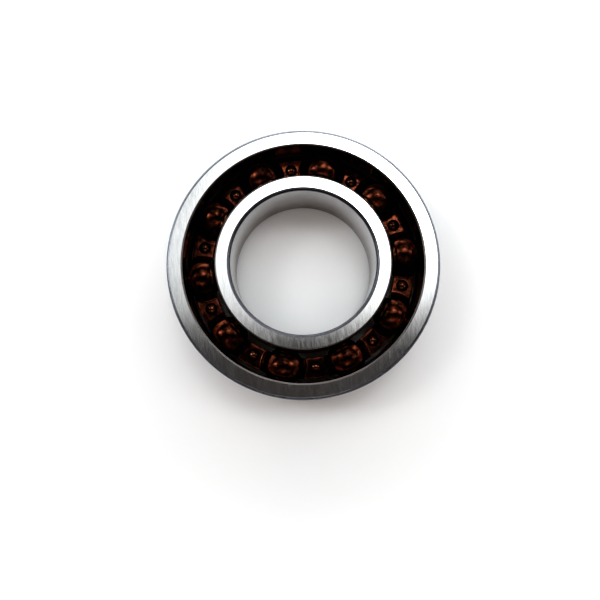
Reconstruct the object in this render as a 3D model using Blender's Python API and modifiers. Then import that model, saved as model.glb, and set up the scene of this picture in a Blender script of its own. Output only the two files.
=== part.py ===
"""Deep-groove ball bearing, open type, 15 x 28 x 7 mm, with a riveted two-piece ribbon cage.

Frame: metres, +Z along the bore axis, origin on that axis at mid-width, +X through the centre of
ball_01. The bearing is symmetric about the plane Z = 0. Balls and rivets are numbered
anticlockwise seen from +Z.
"""

import math

import bmesh
import bpy
from mathutils import Vector

MM = 0.001

# Boundary dimensions of the 15 x 28 x 7 size.
BORE_D = 15.0 * MM
OUTSIDE_D = 28.0 * MM
WIDTH = 7.0 * MM
CORNER_R = 0.30 * MM  # on the bore corners and on the outside corners

# Rolling elements: 5/32 inch balls on their pitch circle.
BALL_D = 3.969 * MM
BALL_COUNT = 10
PITCH_D = 21.5 * MM

# Raceways: a groove of slightly larger radius than the ball, between two shoulders.
GROOVE_R = 0.52 * BALL_D
INNER_SHOULDER_D = 18.24 * MM
OUTER_SHOULDER_D = 24.60 * MM
SHOULDER_BREAK = 0.20 * MM  # edge break where a shoulder meets its side face
RACE_GAP = 0.04 * MM  # between a ball and each groove's bottom, room for the facets to turn in

# Cage: two pressed ribbons with a cup over every ball and a flat pad between cups.
RIBBON_INNER_D = 19.50 * MM
RIBBON_OUTER_D = 23.80 * MM
SHEET = 0.33 * MM
HALF_GAP = 0.01 * MM  # from the parting plane to each ribbon's back
POCKET_GAP = 0.09 * MM  # between a ball and its cup

# Rivets: one through every pair of pads.
SHANK_D = 0.70 * MM
SHANK_GAP = 0.04 * MM
HEAD_D = 1.28 * MM
HEAD_RISE = 0.30 * MM
HEAD_GAP = 0.02 * MM  # from a pad to the head's underside

# Facets. Sixty sectors give every ball pocket the same facets.
RING_STEPS = 60
GROOVE_STEPS = 6
CORNER_STEPS = 2
BALL_SEGMENTS = 18
BALL_RINGS = 10
CUP_SEGMENTS = 18  # not a multiple of four, so no cup has an edge in the parting plane
CUP_RINGS = 10
RIVET_STEPS = 10
DOME_STEPS = 3
HOLE_STEPS = 10
CREASE = math.radians(30)  # edges turning more than this stay sharp
CAGE_CREASE = math.radians(25)

# Radii that follow from the dimensions above.
BALL_R = BALL_D / 2
PITCH_R = PITCH_D / 2
CUP_INNER_R = BALL_R + POCKET_GAP
CUP_OUTER_R = CUP_INNER_R + SHEET
PAD_TOP = HALF_GAP + SHEET
PITCH_ANGLE = 2 * math.pi / BALL_COUNT
MERGE = 1e-6
CUT_OVER = 1.0 * MM  # how far a cutter runs past what it cuts

PARTS = "Ball bearing"
CUTTERS = "Cutters"


def clear_scene():
    for obj in list(bpy.data.objects):
        bpy.data.objects.remove(obj, do_unlink=True)


def collection(name):
    made = bpy.data.collections.new(name)
    bpy.context.scene.collection.children.link(made)
    return made


def material(name, colour, roughness, metallic=1.0):
    made = bpy.data.materials.new(name)
    made.use_nodes = True
    shader = made.node_tree.nodes["Principled BSDF"]
    shader.inputs["Base Color"].default_value = (*colour, 1.0)
    shader.inputs["Roughness"].default_value = roughness
    shader.inputs["Metallic"].default_value = metallic
    made.diffuse_color = (*colour, 1.0)
    return made


def arc(centre_x, centre_z, radius, start, end, steps):
    """Points along an arc in the XZ plane, angles in radians from +X towards +Z, both ends included."""
    angles = [start + (end - start) * i / steps for i in range(steps + 1)]
    return [(centre_x + radius * math.cos(a), centre_z + radius * math.sin(a)) for a in angles]


def new_object(name, mesh, place):
    made = bpy.data.objects.new(name, mesh)
    place.objects.link(made)
    return made


def finish(obj, surface, crease=CREASE):
    obj.data.materials.append(surface)
    obj.data.shade_smooth()
    obj.data.set_sharp_from_angle(angle=crease)


def turned(name, profile, place, steps, closed=True):
    """A profile of (radius, height) points turned about Z. Its outer side runs from top to bottom."""
    mesh = bpy.data.meshes.new(name)
    count = len(profile)
    edges = [(i, (i + 1) % count) for i in range(count if closed else count - 1)]
    mesh.from_pydata([(x, 0, z) for x, z in profile], edges, [])
    made = new_object(name, mesh, place)
    screw = made.modifiers.new("Turn", "SCREW")
    screw.axis = "Z"
    screw.angle = 2 * math.pi
    screw.steps = steps
    screw.render_steps = steps
    screw.use_merge_vertices = True
    screw.merge_threshold = MERGE
    screw.use_smooth_shade = True
    return made


def sphere(name, radius, angle, place, segments, rings):
    """A sphere at one ball's place on the pitch circle."""
    mesh = bpy.data.meshes.new(name)
    shape = bmesh.new()
    bmesh.ops.create_uvsphere(shape, u_segments=segments, v_segments=rings, radius=radius)
    shape.to_mesh(mesh)
    shape.free()
    made = new_object(name, mesh, place)
    made.location = on_pitch_circle(angle)
    made.rotation_euler.z = angle
    return made


def cup_sphere(name, radius, angle, place):
    """A sphere with its poles along the bearing's radius, where the ribbon's edges trim them away."""
    made = sphere(name, radius, angle, place, CUP_SEGMENTS, CUP_RINGS)
    made.rotation_euler.y = math.pi / 2
    return made


def on_pitch_circle(angle):
    return Vector((PITCH_R * math.cos(angle), PITCH_R * math.sin(angle), 0))


def boolean(obj, operation, other):
    """Cuts or joins with one object or with every object of a collection."""
    made = obj.modifiers.new(operation.title(), "BOOLEAN")
    made.operation = operation
    made.solver = "EXACT"
    if isinstance(other, bpy.types.Collection):
        made.operand_type = "COLLECTION"
        made.collection = other
    else:
        made.object = other


def hide(obj):
    obj.hide_render = True
    obj.display_type = "WIRE"


def groove_half_angle(centre_r, shoulder_r):
    """Half the angle that a groove's arc spans between its shoulders, seen from the arc's centre."""
    return math.acos(abs(centre_r - shoulder_r) / GROOVE_R)


def outer_ring(place, steel):
    """Runs down the outside, then up the inside through the groove."""
    side_z = WIDTH / 2
    corner_r = OUTSIDE_D / 2 - CORNER_R
    corner_z = side_z - CORNER_R
    shoulder_r = OUTER_SHOULDER_D / 2
    centre_r = PITCH_R + BALL_R + RACE_GAP - GROOVE_R
    reach = groove_half_angle(centre_r, shoulder_r)
    quarter = math.pi / 2
    profile = arc(corner_r, corner_z, CORNER_R, quarter, 0, CORNER_STEPS)
    profile += arc(corner_r, -corner_z, CORNER_R, 0, -quarter, CORNER_STEPS)
    profile += [(shoulder_r + SHOULDER_BREAK, -side_z), (shoulder_r, -side_z + SHOULDER_BREAK)]
    profile += arc(centre_r, 0, GROOVE_R, -reach, reach, GROOVE_STEPS)
    profile += [(shoulder_r, side_z - SHOULDER_BREAK), (shoulder_r + SHOULDER_BREAK, side_z)]
    finish(turned("outer_ring", profile, place, RING_STEPS), steel)


def inner_ring(place, steel):
    """Runs down the groove side, then up the bore."""
    side_z = WIDTH / 2
    corner_r = BORE_D / 2 + CORNER_R
    corner_z = side_z - CORNER_R
    shoulder_r = INNER_SHOULDER_D / 2
    centre_r = PITCH_R - BALL_R - RACE_GAP + GROOVE_R
    reach = groove_half_angle(centre_r, shoulder_r)
    quarter = math.pi / 2
    profile = [(shoulder_r - SHOULDER_BREAK, side_z), (shoulder_r, side_z - SHOULDER_BREAK)]
    profile += arc(centre_r, 0, GROOVE_R, math.pi - reach, math.pi + reach, GROOVE_STEPS)
    profile += [(shoulder_r, -side_z + SHOULDER_BREAK), (shoulder_r - SHOULDER_BREAK, -side_z)]
    profile += arc(corner_r, -corner_z, CORNER_R, -quarter, -2 * quarter, CORNER_STEPS)
    profile += arc(corner_r, corner_z, CORNER_R, 2 * quarter, quarter, CORNER_STEPS)
    finish(turned("inner_ring", profile, place, RING_STEPS), steel)


def balls(place, steel):
    for i in range(BALL_COUNT):
        name = f"ball_{i + 1:02d}"
        made = sphere(name, BALL_R, i * PITCH_ANGLE, place, BALL_SEGMENTS, BALL_RINGS)
        finish(made, steel)


def ribbon_cutters(place):
    """The cups that are joined to a ribbon, and what trims it: its edges and back, pockets and holes."""
    cups, trims = (bpy.data.collections.new(name) for name in ("cups", "trims"))
    place.children.link(cups)
    place.children.link(trims)
    top = CUP_OUTER_R + CUT_OVER
    far_r = PITCH_R + CUP_OUTER_R + CUT_OVER
    outer_r = RIBBON_OUTER_D / 2
    inner_r = RIBBON_INNER_D / 2
    for i in range(BALL_COUNT):
        angle = i * PITCH_ANGLE
        hide(cup_sphere(f"cup_{i + 1:02d}", CUP_OUTER_R, angle, cups))
        hide(cup_sphere(f"pocket_{i + 1:02d}", CUP_INNER_R, angle, trims))
        hide(hole_cutter(f"hole_{i + 1:02d}", angle + PITCH_ANGLE / 2, trims))
    outer_trim = [(far_r, top), (far_r, -top), (outer_r, -top), (outer_r, top)]
    hide(turned("outer_trim", outer_trim, trims, RING_STEPS))
    inner_trim = [(0.0, top), (inner_r, top), (inner_r, -top), (0.0, -top)]
    hide(turned("inner_trim", inner_trim, trims, RING_STEPS, closed=False))
    back_trim = [(0.0, HALF_GAP), (far_r, HALF_GAP), (far_r, -top), (0.0, -top)]
    hide(turned("back_trim", back_trim, trims, RING_STEPS, closed=False))
    return cups, trims


def hole_cutter(name, angle, place):
    mesh = bpy.data.meshes.new(name)
    shape = bmesh.new()
    bmesh.ops.create_cone(
        shape,
        cap_ends=True,
        segments=HOLE_STEPS,
        radius1=SHANK_D / 2 + SHANK_GAP,
        radius2=SHANK_D / 2 + SHANK_GAP,
        depth=2 * CUT_OVER,
    )
    shape.to_mesh(mesh)
    shape.free()
    made = new_object(name, mesh, place)
    made.location = on_pitch_circle(angle)
    made.rotation_euler.z = angle
    return made


def cage_half(name, place, cups, trims, steel):
    """A flat strip joined to the cups, then trimmed to the ribbon and opened for balls and rivets."""
    wide_r = (RIBBON_OUTER_D + CUT_OVER) / 2
    narrow_r = (RIBBON_INNER_D - CUT_OVER) / 2
    back = -CUT_OVER / 2
    strip = [(wide_r, PAD_TOP), (wide_r, back), (narrow_r, back), (narrow_r, PAD_TOP)]
    made = turned(name, strip, place, RING_STEPS)
    boolean(made, "UNION", cups)
    boolean(made, "DIFFERENCE", trims)
    finish(made, steel, CAGE_CREASE)
    return made


def cage(place, cutters, steel):
    """Both halves are the same pressing. The lower one is turned over about the X axis."""
    cups, trims = ribbon_cutters(cutters)
    upper = cage_half("cage_upper_half", place, cups, trims, steel)
    bpy.context.view_layer.update()
    evaluated = upper.evaluated_get(bpy.context.evaluated_depsgraph_get())
    lower = new_object("cage_lower_half", bpy.data.meshes.new_from_object(evaluated), place)
    lower.rotation_euler.x = math.pi


def rivets(place, steel):
    head_z = PAD_TOP + HEAD_GAP
    head_r = HEAD_D / 2
    dome_r = (head_r**2 + HEAD_RISE**2) / (2 * HEAD_RISE)
    dome_z = head_z + HEAD_RISE - dome_r
    rim = math.asin((head_z - dome_z) / dome_r)
    dome = arc(0, dome_z, dome_r, math.pi / 2, rim, DOME_STEPS)
    upper = [(0.0, head_z + HEAD_RISE), *dome[1:], (SHANK_D / 2, head_z)]
    profile = upper + [(x, -z) for x, z in reversed(upper)]
    for i in range(BALL_COUNT):
        angle = (i + 0.5) * PITCH_ANGLE
        made = turned(f"rivet_{i + 1:02d}", profile, place, RIVET_STEPS, closed=False)
        made.location = on_pitch_circle(angle)
        made.rotation_euler.z = angle
        finish(made, steel)


def main():
    clear_scene()
    parts = collection(PARTS)
    cutters = collection(CUTTERS)
    cutters.hide_render = True
    ring_steel = material("ring_steel", (0.62, 0.64, 0.67), 0.25)
    ball_steel = material("ball_steel", (0.72, 0.73, 0.75), 0.08)
    cage_steel = material("cage_steel", (0.30, 0.19, 0.13), 0.35)
    rivet_steel = material("rivet_steel", (0.36, 0.22, 0.15), 0.30)
    outer_ring(parts, ring_steel)
    inner_ring(parts, ring_steel)
    balls(parts, ball_steel)
    cage(parts, cutters, cage_steel)
    rivets(parts, rivet_steel)


main()
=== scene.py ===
"""Looks for the open deep-groove ball bearing: fine meshes, finishes, floor, light and camera.

Metres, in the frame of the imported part: origin at the bearing's centre, +Z along the bore axis.
The camera and the light share one heading, VIEW_HEADING, so the balls lie as they do in the view
from above.
"""

import math

import bmesh
import bpy
from mathutils import Matrix, Vector


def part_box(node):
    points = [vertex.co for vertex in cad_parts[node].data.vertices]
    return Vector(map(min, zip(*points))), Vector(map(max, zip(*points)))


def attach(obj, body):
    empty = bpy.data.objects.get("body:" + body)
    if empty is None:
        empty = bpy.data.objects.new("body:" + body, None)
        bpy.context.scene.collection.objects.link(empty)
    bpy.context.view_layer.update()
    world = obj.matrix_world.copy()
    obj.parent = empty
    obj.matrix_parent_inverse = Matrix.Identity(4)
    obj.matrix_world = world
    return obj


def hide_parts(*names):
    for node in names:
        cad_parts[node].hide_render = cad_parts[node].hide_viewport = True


MM = 0.001
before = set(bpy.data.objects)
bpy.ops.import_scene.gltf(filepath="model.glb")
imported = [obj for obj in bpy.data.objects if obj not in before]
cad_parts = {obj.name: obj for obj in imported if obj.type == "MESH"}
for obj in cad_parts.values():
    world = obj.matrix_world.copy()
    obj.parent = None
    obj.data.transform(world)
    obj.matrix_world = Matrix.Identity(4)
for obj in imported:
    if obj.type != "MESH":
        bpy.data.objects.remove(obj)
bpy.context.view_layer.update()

# ---------------------------------------------------------------- sizes, read from the CAD
OUTER_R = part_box("outer_ring")[1].x
SIDE_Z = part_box("outer_ring")[1].z
SHANK_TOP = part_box("rivet_01")[1].z
BALL_LOW, BALL_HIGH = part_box("ball_01")
BALL_R = (BALL_HIGH.z - BALL_LOW.z) / 2
PITCH_R = (BALL_HIGH.x + BALL_LOW.x) / 2
RIBBON_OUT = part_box("cage_upper_half")[1].x
CUP_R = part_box("cage_upper_half")[1].z

# ---------------------------------------------------------------- sizes that the boxes don't give
BALL_COUNT = 10
PITCH_ANGLE = 2 * math.pi / BALL_COUNT
BORE_R = 7.5 * MM
INNER_SHOULDER_R = 9.12 * MM
OUTER_SHOULDER_R = 12.30 * MM
CORNER_R = 0.30 * MM
BREAK_R = 0.20 * MM  # rounded edge of a shoulder
GROOVE_R = 1.04 * BALL_R
RACE_GAP = 0.012 * MM
RIBBON_IN = 9.75 * MM
SHEET = 0.33 * MM
HALF_GAP = 0.01 * MM
BEND_R = 0.28 * MM  # concave bend where a cup rises from its pad
EDGE_R = 0.05 * MM  # blanked edge of the strip
HEAD_R = 0.64 * MM
HEAD_GAP = 0.004 * MM
SHANK_R = 0.35 * MM
SHANK_FILLET = 0.03 * MM
RIM_ANGLE = 7  # degrees at the foot of a rivet's dome where its rim begins to round under
RIM_OUT, RIM_DOWN = 0.015 * MM, 0.02 * MM  # step from the dome to the rim
RIM_HEIGHT = 0.015 * MM
RIM_UNDERCUT = 0.006 * MM

# ---------------------------------------------------------------- fineness of the meshes
RING_STEPS = 360
CORNER_STEPS = 8
BREAK_STEPS = 5
GROOVE_STEPS = 32
WALL_STEPS = 12
FACE_STEPS = 6
LAND_STEPS = 4
BALL_CUTS = 23
CUP_STEPS = 20
BEND_STEPS = 9
PAD_STEPS = 8
ACROSS_STEPS = 12
EDGE_STEPS = 4
RIVET_STEPS = 40
DOME_STEPS = 14
RUN_MARGIN = 0.02 * MM  # how close to its ends a straight run's first and last points lie
AXIS_LIMIT = 1e-9  # a profile point nearer to the axis than this lies on it
BALL_TURNS = (0.7, 1.3, 0.4)  # radians from one ball to the next, so that no two look alike

VIEW_HEADING = math.radians(-7)


# ---------------------------------------------------------------- meshes
def arc(cx, cz, radius, start, end, steps):
    """Points on an arc, angles in degrees from +X towards +Z, both ends included."""
    points = []
    for i in range(steps + 1):
        a = math.radians(start + (end - start) * i / steps)
        points.append((cx + radius * math.cos(a), cz + radius * math.sin(a)))
    return points


def line(start, end, steps):
    """Points inside a straight run, one close to each end, so that shading stays flat."""
    (x0, z0), (x1, z1) = start, end
    near = RUN_MARGIN / math.hypot(x1 - x0, z1 - z0)
    shares = [near + (1 - 2 * near) * i / steps for i in range(steps + 1)]
    return [(x0 + (x1 - x0) * s, z0 + (z1 - z0) * s) for s in shares]


def link_smooth(name, mesh):
    mesh.shade_smooth()
    obj = bpy.data.objects.new(name, mesh)
    bpy.context.scene.collection.objects.link(obj)
    return obj


def new_mesh(name, verts, faces):
    mesh = bpy.data.meshes.new(name)
    mesh.from_pydata(verts, [], faces)
    mesh.update()
    return link_smooth(name, mesh)


def turn(name, profile, steps, closed=True):
    """A profile turned about Z: a closed one, or one from axis to axis.

    The outer side runs top to bottom. Also returns, for each face, the number of the profile point
    that its band starts from.
    """
    count = len(profile)
    verts = []
    rows = []
    for x, z in profile:
        if x < AXIS_LIMIT:
            rows.append([len(verts)] * steps)
            verts.append((0, 0, z))
            continue
        rows.append(list(range(len(verts), len(verts) + steps)))
        for k in range(steps):
            a = 2 * math.pi * k / steps
            verts.append((x * math.cos(a), x * math.sin(a), z))
    faces = []
    bands = []
    for i in range(count if closed else count - 1):
        upper, lower = rows[i], rows[(i + 1) % count]
        for k in range(steps):
            n = (k + 1) % steps
            corners = [upper[k], lower[k], lower[n], upper[n]]
            faces.append(list(dict.fromkeys(corners)))
            bands.append(i)
    return new_mesh(name, verts, faces), bands


def ring(name, zones):
    """A turned ring. zones: runs of (points, material) round its profile.

    A face band takes the material of the point that it starts from.
    """
    profile = []
    kinds = []
    for points, kind in zones:
        profile += points
        kinds += [kind] * len(points)
    obj, bands = turn(name, profile, RING_STEPS)
    slots = list(dict.fromkeys(kinds))
    for kind in slots:
        obj.data.materials.append(kind)
    index = [slots.index(kinds[b]) for b in bands]
    obj.data.polygons.foreach_set("material_index", index)
    return obj


def outer_ring(face, wall, race, edge, shoulder):
    top_r = OUTER_R - CORNER_R
    top_z = SIDE_Z - CORNER_R
    inner_r = OUTER_SHOULDER_R + BREAK_R
    inner_z = SIDE_Z - BREAK_R
    centre = PITCH_R + BALL_R + RACE_GAP - GROOVE_R
    reach = math.degrees(math.acos((OUTER_SHOULDER_R - centre) / GROOVE_R))
    land = GROOVE_R * math.sin(math.radians(reach))
    zones = [
        (arc(top_r, top_z, CORNER_R, 90, 0, CORNER_STEPS), edge),
        (line((OUTER_R, top_z), (OUTER_R, -top_z), WALL_STEPS), wall),
        (arc(top_r, -top_z, CORNER_R, 0, -90, CORNER_STEPS), edge),
        (line((top_r, -SIDE_Z), (inner_r, -SIDE_Z), FACE_STEPS), face),
        (arc(inner_r, -inner_z, BREAK_R, -90, -180, BREAK_STEPS), shoulder),
        (line((OUTER_SHOULDER_R, -inner_z), (OUTER_SHOULDER_R, -land), LAND_STEPS), race),
        (arc(centre, 0, GROOVE_R, -reach, reach, GROOVE_STEPS), race),
        (line((OUTER_SHOULDER_R, land), (OUTER_SHOULDER_R, inner_z), LAND_STEPS), race),
        (arc(inner_r, inner_z, BREAK_R, 180, 90, BREAK_STEPS), shoulder),
        (line((inner_r, SIDE_Z), (top_r, SIDE_Z), FACE_STEPS), face),
    ]
    return ring("ring_outer", zones)


def inner_ring(face, wall, race, edge, shoulder):
    top_r = BORE_R + CORNER_R
    top_z = SIDE_Z - CORNER_R
    outer_r = INNER_SHOULDER_R - BREAK_R
    outer_z = SIDE_Z - BREAK_R
    centre = PITCH_R - BALL_R - RACE_GAP + GROOVE_R
    reach = math.degrees(math.acos((centre - INNER_SHOULDER_R) / GROOVE_R))
    land = GROOVE_R * math.sin(math.radians(reach))
    zones = [
        (arc(outer_r, outer_z, BREAK_R, 90, 0, BREAK_STEPS), shoulder),
        (line((INNER_SHOULDER_R, outer_z), (INNER_SHOULDER_R, land), LAND_STEPS), race),
        (arc(centre, 0, GROOVE_R, 180 - reach, 180 + reach, GROOVE_STEPS), race),
        (line((INNER_SHOULDER_R, -land), (INNER_SHOULDER_R, -outer_z), LAND_STEPS), race),
        (arc(outer_r, -outer_z, BREAK_R, 0, -90, BREAK_STEPS), shoulder),
        (line((outer_r, -SIDE_Z), (top_r, -SIDE_Z), FACE_STEPS), face),
        (arc(top_r, -top_z, CORNER_R, -90, -180, CORNER_STEPS), edge),
        (line((BORE_R, -top_z), (BORE_R, top_z), WALL_STEPS), wall),
        (arc(top_r, top_z, CORNER_R, 180, 90, CORNER_STEPS), edge),
        (line((top_r, SIDE_Z), (outer_r, SIDE_Z), FACE_STEPS), face),
    ]
    return ring("ring_inner", zones)


def ball(name, number, steel):
    """A cube's grid pressed out to a sphere, so that no pole shows."""
    mesh = bpy.data.meshes.new(name)
    shape = bmesh.new()
    bmesh.ops.create_cube(shape, size=2)
    bmesh.ops.subdivide_edges(shape, edges=shape.edges, cuts=BALL_CUTS, use_grid_fill=True)
    for v in shape.verts:
        even = Vector([math.tan(c * math.pi / 4) for c in v.co])
        v.co = even.normalized() * BALL_R
    shape.to_mesh(mesh)
    shape.free()
    obj = link_smooth(name, mesh)
    a = number * PITCH_ANGLE
    obj.location = (PITCH_R * math.cos(a), PITCH_R * math.sin(a), 0)
    obj.rotation_euler = [step * number for step in BALL_TURNS]
    mesh.materials.append(steel)
    return obj


def chord_span(r):
    """At radius r, the distance along from a ball is this times the sine of half the angle to it.

    That distance and r - PITCH_R are the two sides at a right angle whose hypotenuse runs to the
    ball's own axis.
    """
    return 2 * math.sqrt(r * PITCH_R)


def sheet_station(kind, share, r, depth):
    """A point of the sheet at radius r, as (distance along from the ball, height).

    share runs 0 to 1 along the cup, the bend or the pad, and depth 0 to 1 through the sheet.
    """
    cup = CUP_R - SHEET * depth
    bend = BEND_R + SHEET * depth
    pad_z = HALF_GAP + SHEET * (1 - depth)
    centre_z = pad_z + bend
    lift = math.asin(centre_z / (cup + bend))
    across = r - PITCH_R
    if kind == "cup":
        section = math.sqrt(cup**2 - across**2)
        end = math.acos(cup * math.sin(lift) / section)
        return section * math.sin(end * share), section * math.cos(end * share)
    bend_x = (cup + bend) * math.cos(lift)
    if kind == "bend":
        a = lift + (math.pi / 2 - lift) * share
        far = bend_x - bend * math.cos(a)
        return math.sqrt(far**2 - across**2), centre_z - bend * math.sin(a)
    start = math.sqrt(bend_x**2 - across**2)
    half_way = chord_span(r) * math.sin(PITCH_ANGLE / 4)
    return start + (half_way - start) * share, pad_z


def cage_section():
    """(radius, depth) points round the strip's cross-section, a rectangle with rounded edges."""
    corners = [
        (RIBBON_OUT - EDGE_R, EDGE_R, 0),
        (RIBBON_IN + EDGE_R, EDGE_R, 90),
        (RIBBON_IN + EDGE_R, SHEET - EDGE_R, 180),
        (RIBBON_OUT - EDGE_R, SHEET - EDGE_R, 270),
    ]
    span = RIBBON_OUT - RIBBON_IN - 2 * EDGE_R
    points = []
    for r, depth, start in corners:
        edge = arc(r, -depth, EDGE_R, start, start + 90, EDGE_STEPS)
        points += [(x, -y / SHEET) for x, y in edge]
        if start in (0, 180):
            way = -1 if start == 0 else 1
            steps = range(1, ACROSS_STEPS)
            points += [(r + way * span * i / ACROSS_STEPS, start / 180) for i in steps]
    return points


def cage_half(name, steel, turned_over):
    """One ribbon, as its cross-section swept through cups, bends and pads, once round."""
    section = cage_section()
    stations = [("cup", i / CUP_STEPS) for i in range(CUP_STEPS)]
    stations += [("bend", i / BEND_STEPS) for i in range(BEND_STEPS)]
    stations += [("pad", i / PAD_STEPS) for i in range(PAD_STEPS + 1)]
    pitch_stations = [(1, s) for s in stations[:-1]]
    pitch_stations += [(-1, s) for s in reversed(stations[1:])]
    verts = []
    for pitch in range(BALL_COUNT):
        for side, (kind, share) in pitch_stations:
            base = pitch * PITCH_ANGLE + (PITCH_ANGLE if side < 0 else 0)
            for r, depth in section:
                along, z = sheet_station(kind, share, r, depth)
                a = base + side * 2 * math.asin(along / chord_span(r))
                verts.append((r * math.cos(a), r * math.sin(a), z))
    count = len(section)
    total = len(pitch_stations) * BALL_COUNT
    faces = []
    for i in range(total):
        j = (i + 1) % total
        for k in range(count):
            n = (k + 1) % count
            faces.append([i * count + k, j * count + k, j * count + n, i * count + n])
    obj = new_mesh(name, verts, faces)
    if turned_over:
        obj.data.transform(Matrix.Rotation(math.pi, 4, "X"))
    obj.data.materials.append(steel)
    return obj


def rivet(name, number, steel):
    """Both heads and the shank between them, turned about the rivet's own axis."""
    seat = HALF_GAP + SHEET + HEAD_GAP
    rise = SHANK_TOP - seat
    dome_r = (HEAD_R**2 + rise**2) / (2 * rise)
    dome_z = seat + rise - dome_r
    foot = math.degrees(math.asin((seat - dome_z) / dome_r)) + RIM_ANGLE
    upper = [(0.0, seat + rise)]
    upper += arc(0, dome_z, dome_r, 90, foot, DOME_STEPS)[1:]
    foot_x, foot_z = upper[-1]
    upper += [(foot_x + RIM_OUT, foot_z - RIM_DOWN), (HEAD_R, seat + RIM_HEIGHT)]
    upper += [(HEAD_R - RIM_UNDERCUT, seat), (SHANK_R + SHANK_FILLET, seat)]
    upper += [(SHANK_R, seat - SHANK_FILLET)]
    profile = upper + [(x, -z) for x, z in reversed(upper)]
    obj, _ = turn(name, profile, RIVET_STEPS, closed=False)
    a = (number + 0.5) * PITCH_ANGLE
    obj.data.transform(Matrix.Rotation(a, 4, "Z") @ Matrix.Translation((PITCH_R, 0, 0)))
    obj.data.materials.append(steel)
    return obj


# ---------------------------------------------------------------- shader nodes
ROUND_SCALE = 7  # how much the honed lines change round the axis


class Nodes:
    """Adds nodes to one tree by short calls. A value is a number or another node's output."""

    def __init__(self, tree):
        self.tree = tree

    def add(self, kind, **values):
        node = self.tree.nodes.new(kind)
        for key, value in values.items():
            setattr(node, key, value)
        return node

    def feed(self, socket, value):
        if isinstance(value, (int, float)):
            socket.default_value = value
        else:
            self.tree.links.new(value, socket)

    def math(self, operation, *values):
        node = self.add("ShaderNodeMath", operation=operation)
        for socket, value in zip(node.inputs, values):
            self.feed(socket, value)
        return node.outputs[0]

    def ramp(self, value, low, high, to_low, to_high):
        """A smooth change from to_low to to_high as value goes from low to high."""
        node = self.add("ShaderNodeMapRange", interpolation_type="SMOOTHSTEP")
        keys = ("Value", "From Min", "From Max", "To Min", "To Max")
        for key, number in zip(keys, (value, low, high, to_low, to_high)):
            self.feed(node.inputs[key], number)
        return node.outputs[0]

    def colours(self, value, stops):
        """A colour between stops of (position, colour)."""
        node = self.add("ShaderNodeValToRGB")
        elements = node.color_ramp.elements
        while len(elements) < len(stops):
            elements.new(0.5)
        for element, (position, colour) in zip(elements, stops):
            element.position = position
            element.color = (*colour, 1)
        self.feed(node.inputs[0], value)
        return node.outputs[0]


class Finish(Nodes):
    """A metallic material. place is a point in the piece's own frame; x, y and z are its parts."""

    def __init__(self, name):
        self.mat = bpy.data.materials.new(name)
        self.mat.use_nodes = True
        super().__init__(self.mat.node_tree)
        self.shader = self.tree.nodes["Principled BSDF"]
        self.shader.inputs["Metallic"].default_value = 1.0
        self.place = self.add("ShaderNodeTexCoord").outputs["Object"]
        split = self.add("ShaderNodeSeparateXYZ")
        self.feed(split.inputs[0], self.place)
        self.x, self.y, self.z = split.outputs[:3]

    def polar(self):
        """Angle about Z as (cos, sin), and the radius."""
        x_square = self.math("MULTIPLY", self.x, self.x)
        y_square = self.math("MULTIPLY", self.y, self.y)
        radius = self.math("SQRT", self.math("ADD", x_square, y_square))
        return self.math("DIVIDE", self.x, radius), self.math("DIVIDE", self.y, radius), radius

    def vector(self, *parts):
        node = self.add("ShaderNodeCombineXYZ")
        for socket, part in zip(node.inputs, parts):
            self.feed(socket, part)
        return node.outputs[0]

    def noise(self, vector, scale, detail=2.0, roughness=0.5):
        node = self.add("ShaderNodeTexNoise")
        node.inputs["Scale"].default_value = scale
        node.inputs["Detail"].default_value = detail
        node.inputs["Roughness"].default_value = roughness
        self.feed(node.inputs["Vector"], vector)
        return node.outputs[0]

    def streaks(self, across, along, detail):
        """Noise on a flat face, drawn out along Y: its scales across and along the streaks."""
        x = self.math("MULTIPLY", self.x, across)
        y = self.math("MULTIPLY", self.y, along)
        return self.noise(self.vector(x, y, self.z), 1.0, detail, 0.6)

    def round_lines(self, cos, sin, across):
        """Noise drawn out round the axis, changing quickly with across only."""
        x = self.math("MULTIPLY", cos, ROUND_SCALE)
        y = self.math("MULTIPLY", sin, ROUND_SCALE)
        return self.noise(self.vector(x, y, across), 1.0, 3.0, 0.6)

    def mix(self, first, second, share):
        """share of the first value and the rest of the second."""
        rest = self.math("MULTIPLY", second, 1 - share)
        return self.math("ADD", self.math("MULTIPLY", first, share), rest)

    def set(self, **values):
        for key, value in values.items():
            self.feed(self.shader.inputs[key.replace("_", " ")], value)
        return self

    def bump(self, height, strength, distance):
        node = self.add("ShaderNodeBump")
        node.inputs["Strength"].default_value = strength
        node.inputs["Distance"].default_value = distance
        self.feed(node.inputs["Height"], height)
        self.feed(self.shader.inputs["Normal"], node.outputs[0])
        return self


# ---------------------------------------------------------------- finishes
HEIGHT_SHARE = 1.3  # lines along the axis for each one along the radius
CLOUD_SHADE = 0.86  # colour of the darker clouds on a wall, as a share of its own
HONED_RANGE = (0.8, 1.25)  # roughness between and on the honed lines, as shares of the wall's own
WET_RANGE = (0.75, 1.2)  # roughness where oil pools and where it is thin, as shares of the strip's


def face_steel():
    """Ground side faces: fine grinding streaks one way, and faint clouding."""
    f = Finish("ring_face_steel")
    coarse = f.streaks(across=2600, along=330, detail=3.0)
    fine = f.streaks(across=11000, along=1000, detail=2.0)
    ground = f.mix(coarse, fine, 0.4)
    clouds = f.noise(f.place, 220, 3.0, 0.6)
    grain = f.ramp(ground, 0.35, 0.65, 0.08, 0.12)
    f.set(Base_Color=f.colours(ground, [(0.35, (0.64, 0.64, 0.64)), (0.65, (0.80, 0.80, 0.80))]))
    f.set(Roughness=f.math("ADD", grain, f.ramp(clouds, 0.35, 0.7, 0.0, 0.02)))
    return f.bump(ground, 0.3, 0.004 * MM).mat


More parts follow.
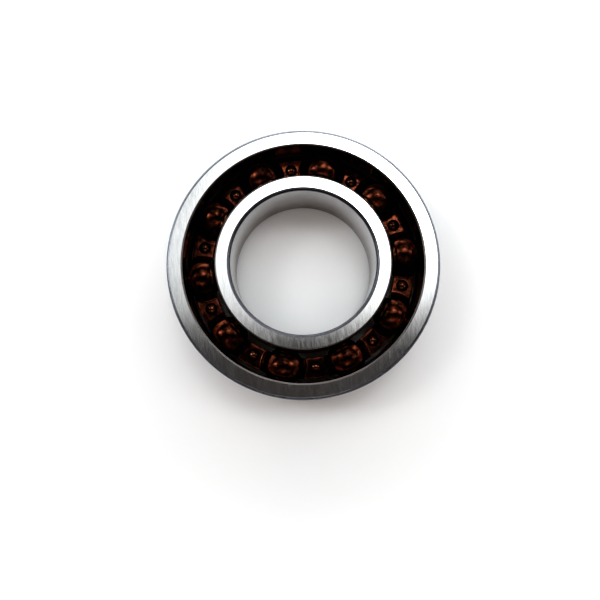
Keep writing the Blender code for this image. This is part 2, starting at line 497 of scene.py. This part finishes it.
def wall_steel(name, colour, rough, lines):
    """Turned and honed surfaces: lines that run round the axis, at the given scale."""
    f = Finish(name)
    cos, sin, radius = f.polar()
    height = f.math("MULTIPLY", f.z, lines * HEIGHT_SHARE)
    across = f.math("ADD", f.math("MULTIPLY", radius, lines), height)
    honed = f.round_lines(cos, sin, across)
    clouds = f.noise(f.place, 260, 3.0, 0.6)
    dark = tuple(c * CLOUD_SHADE for c in colour)
    f.set(Base_Color=f.colours(clouds, [(0.3, dark), (0.7, colour)]))
    smoother, rougher = (rough * share for share in HONED_RANGE)
    f.set(Roughness=f.ramp(honed, 0.3, 0.7, smoother, rougher))
    return f.bump(honed, 0.25, 0.003 * MM).mat


def bore_steel():
    """The ground bore, with painted shade: its colour darkens and browns towards the lower end,
    over faint clouding.
    """
    f = Finish("ring_bore_steel")
    cos, sin, _ = f.polar()
    honed = f.round_lines(cos, sin, f.math("MULTIPLY", f.z, 18000))
    clouds = f.noise(f.place, 260, 3.0, 0.6)
    # painted shade: the colour darkens and browns from the upper part of the bore down to its lower
    # end
    height = f.ramp(f.z, -0.95 * SIDE_Z, 0.6 * SIDE_Z, 0.0, 0.8)
    painted_shade_and_clouds = f.math("ADD", height, f.ramp(clouds, 0.3, 0.7, 0.0, 0.2))
    # painted shade: the dark brown first stop is the colour the lower end takes
    stops = [(0.0, (0.20, 0.17, 0.155)), (0.5, (0.56, 0.56, 0.555)), (1.0, (0.84, 0.87, 0.89))]
    f.set(Base_Color=f.colours(painted_shade_and_clouds, stops))
    f.set(Roughness=f.ramp(honed, 0.3, 0.7, 0.12, 0.19))
    return f.bump(honed, 0.25, 0.003 * MM).mat


def ball_steel():
    """Lapped to a mirror, in a dark brown colour that is painted shade and painted brown
    reflection, darker than bare steel.
    """
    f = Finish("ball_mirror_steel")
    mottle = f.noise(f.place, 700, 3.0, 0.6)
    # painted shade and painted reflection: dark brown in place of the bright steel colour
    f.set(Base_Color=f.colours(mottle, [(0.35, (0.16, 0.10, 0.07)), (0.65, (0.26, 0.17, 0.12))]))
    f.set(Roughness=f.ramp(mottle, 0.35, 0.75, 0.04, 0.11))
    return f.bump(mottle, 0.06, 0.004 * MM).mat


def cage_steel(name, dark, light, rough):
    """Pressed strip under a copper-brown oil film that pools unevenly."""
    f = Finish(name)
    mottle = f.noise(f.place, 1900, 3.0, 0.62)
    pools = f.noise(f.place, 420, 2.0, 0.5)
    grain = f.noise(f.place, 6000, 2.0, 0.6)
    f.set(Base_Color=f.colours(f.mix(mottle, pools, 0.65), [(0.42, dark), (0.60, light)]))
    smoother, rougher = (rough * share for share in WET_RANGE)
    wet = f.ramp(pools, 0.35, 0.65, smoother, rougher)
    f.set(Roughness=f.math("ADD", wet, f.ramp(grain, 0.3, 0.7, -0.02, 0.03)))
    return f.bump(f.mix(mottle, grain, 0.8), 0.35, 0.02 * MM).mat


def floor_paint():
    f = Finish("floor_paint")
    tone = f.noise(f.place, 30, 3.0, 0.5)
    f.set(Base_Color=f.colours(tone, [(0.3, (0.86, 0.865, 0.87)), (0.7, (0.90, 0.90, 0.90))]))
    f.set(Metallic=0.0, Roughness=0.75)
    fine = f.noise(f.place, 2500, 2.0, 0.5)
    return f.bump(fine, 0.1, 0.01 * MM).mat


# ---------------------------------------------------------------- the pieces
FACE = face_steel()
EDGE = wall_steel("ring_edge_steel", (0.17, 0.18, 0.205), 0.26, 9000)
BORE_EDGE = wall_steel("bore_edge_steel", (0.09, 0.09, 0.10), 0.26, 9000)
SHOULDER = wall_steel("ring_shoulder_steel", (0.11, 0.10, 0.095), 0.24, 9000)
WALL = wall_steel("ring_wall_steel", (0.30, 0.31, 0.33), 0.24, 14000)
BORE = bore_steel()
RACE = wall_steel("raceway_steel", (0.36, 0.25, 0.19), 0.14, 20000)
BALL = ball_steel()
CAGE = cage_steel("cage_oiled_steel", (0.010, 0.003, 0.002), (0.098, 0.031, 0.016), 0.12)
RIVET = cage_steel("rivet_oiled_steel", (0.030, 0.012, 0.007), (0.130, 0.054, 0.029), 0.11)


def place(obj, body, slot, *nodes):
    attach(obj, body)
    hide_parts(*nodes)


place(outer_ring(FACE, WALL, RACE, EDGE, SHOULDER), "outer_ring", "ring_steel", "outer_ring")
place(inner_ring(FACE, BORE, RACE, BORE_EDGE, SHOULDER), "inner_ring", "ring_steel", "inner_ring")
place(cage_half("ribbon_upper", CAGE, False), "cage", "cage_steel", "cage_upper_half")
place(cage_half("ribbon_lower", CAGE, True), "cage", "cage_steel", "cage_lower_half")
for i in range(BALL_COUNT):
    number = f"{i + 1:02d}"
    place(ball(f"steel_ball_{number}", i, BALL), f"ball_{number}", "ball_steel", f"ball_{number}")
    place(rivet(f"domed_rivet_{number}", i, RIVET), "cage", "rivet_steel", f"rivet_{number}")


# ---------------------------------------------------------------- floor
FLOOR_HALF = 0.8
FLOOR_CELLS = 8


def pale_floor():
    """A square grid of cells at the height of the bearing's lower side."""
    row = FLOOR_CELLS + 1
    marks = [FLOOR_HALF * (2 * i / FLOOR_CELLS - 1) for i in range(row)]
    verts = [(x, y, -SIDE_Z) for y in marks for x in marks]
    starts = [j * row + i for j in range(FLOOR_CELLS) for i in range(FLOOR_CELLS)]
    faces = [[s, s + 1, s + row + 1, s + row] for s in starts]
    floor = new_mesh("floor", verts, faces)
    floor.data.materials.append(floor_paint())
    return floor


pale_floor()


# ---------------------------------------------------------------- light
# Soft lights: roll to the right and lean ahead from straight up, spreads both ways, in degrees, and
# strength. Those ahead begin at NEAR_EDGE, so that the near side of the rings stays dark.
AHEAD = [
    (-40, 14, 9, 6.5, 7.6),
    (7, 19, 7, 5, 5.5),
    (41, 13, 8, 6.5, 4.4),
    (0, 12, 11, 5.5, 1.15),
    (5, 34, 14, 8, 1.2),
]
BESIDE = [
    (-36, 0, 7, 5, 1.0),
    (36, 0, 7, 5, 0.6),
    (0, -30, 20, 8, 1.6),
]
NEAR_EDGE = (3.1, 6.5)  # lean over which the lights ahead begin
BASE_LIGHT = 0.058
LOW_AHEAD, LOW_POWER = 3.4, 2.0  # light from low round the object: strength ahead, and its fall-off
LOW_TOP = (22, 38)  # elevation over which the low light ends
BEHIND_TINT, AHEAD_TINT = (1.0, 0.89, 0.84), (0.97, 0.995, 1.005)
TINT_CHANGE = (-4, 10)  # lean over which one tint turns into the other
SEEN_WHITE = 1.0  # what the camera sees past the floor
TO_DEGREES = 180 / math.pi
OVER_ONE = 1.0001  # keeps the level share of a direction above zero straight up


def studio():
    """A soft overhead panel beyond the object, dim towards the viewer, brighter low down behind."""
    world = bpy.data.worlds.new("studio")
    bpy.context.scene.world = world
    world.use_nodes = True
    n = Nodes(world.node_tree)
    background = n.tree.nodes["Background"]

    def dot(direction, axis):
        node = n.add("ShaderNodeVectorMath", operation="DOT_PRODUCT")
        n.feed(node.inputs[0], direction)
        node.inputs[1].default_value = axis
        return node.outputs["Value"]

    heading = Matrix.Rotation(VIEW_HEADING, 3, "Z")
    direction = n.add("ShaderNodeTexCoord").outputs["Generated"]
    side = dot(direction, heading @ Vector((1, 0, 0)))
    ahead = dot(direction, heading @ Vector((0, 1, 0)))
    up = dot(direction, Vector((0, 0, 1)))
    lean = n.math("MULTIPLY", n.math("ARCTAN2", ahead, up), TO_DEGREES)
    roll = n.math("MULTIPLY", n.math("ARCTAN2", side, up), TO_DEGREES)

    def lobe(at_side, at_ahead, wide, deep, strength):
        """A soft patch of light, centred and spread in degrees of roll and lean."""
        a = n.math("DIVIDE", n.math("SUBTRACT", roll, at_side), wide)
        b = n.math("DIVIDE", n.math("SUBTRACT", lean, at_ahead), deep)
        square = n.math("ADD", n.math("MULTIPLY", a, a), n.math("MULTIPLY", b, b))
        return n.math("MULTIPLY", n.math("EXPONENT", n.math("MULTIPLY", square, -0.5)), strength)

    panel = 0.0
    for patch in AHEAD:
        panel = n.math("ADD", lobe(*patch), panel)
    panel = n.math("MULTIPLY", panel, n.ramp(lean, *NEAR_EDGE, 0.0, 1.0))
    for patch in BESIDE:
        panel = n.math("ADD", lobe(*patch), panel)

    height = n.math("MULTIPLY", n.math("ARCSINE", up), TO_DEGREES)
    level = n.math("SQRT", n.math("SUBTRACT", OVER_ONE, n.math("MULTIPLY", up, up)))
    facing = n.math("MULTIPLY", n.math("ADD", n.math("DIVIDE", ahead, level), 1), 0.5)
    low = n.math("MULTIPLY", n.math("POWER", facing, LOW_POWER), LOW_AHEAD)
    low = n.math("MULTIPLY", low, n.ramp(height, *LOW_TOP, 1.0, 0.0))
    total = n.math("ADD", n.math("ADD", panel, low), BASE_LIGHT)
    n.feed(background.inputs["Strength"], total)
    change = n.ramp(lean, *TINT_CHANGE, 0.0, 1.0)
    n.feed(background.inputs["Color"], n.colours(change, [(0.0, BEHIND_TINT), (1.0, AHEAD_TINT)]))

    seen = n.add("ShaderNodeBackground")
    seen.inputs["Strength"].default_value = SEEN_WHITE
    mix = n.add("ShaderNodeMixShader")
    n.feed(mix.inputs[0], n.add("ShaderNodeLightPath").outputs["Is Camera Ray"])
    n.feed(mix.inputs[1], background.outputs[0])
    n.feed(mix.inputs[2], seen.outputs[0])
    n.feed(n.tree.nodes["World Output"].inputs["Surface"], mix.outputs[0])


studio()
view_settings = bpy.context.scene.view_settings
view_settings.view_transform = "Standard"
view_settings.look = "High Contrast"
view_settings.exposure = 0.0

# ---------------------------------------------------------------- camera
CAMERA_TILT = math.radians(7.39)  # from straight down
CAMERA_AT = Vector((-0.34, -11.74, 63.20)) * MM  # before the turn to VIEW_HEADING
SENSOR_MM = 36
LENS_MM = 35.76
camera_data = bpy.data.cameras.new("camera")
camera_data.sensor_width = SENSOR_MM
camera_data.lens = LENS_MM
camera_data.clip_start = 1 * MM
camera_data.clip_end = 10
camera = bpy.data.objects.new("camera", camera_data)
bpy.context.scene.collection.objects.link(camera)
camera.matrix_world = (
    Matrix.Rotation(VIEW_HEADING, 4, "Z")
    @ Matrix.Translation(CAMERA_AT)
    @ Matrix.Rotation(CAMERA_TILT, 4, "X")
)
bpy.context.scene.camera = camera
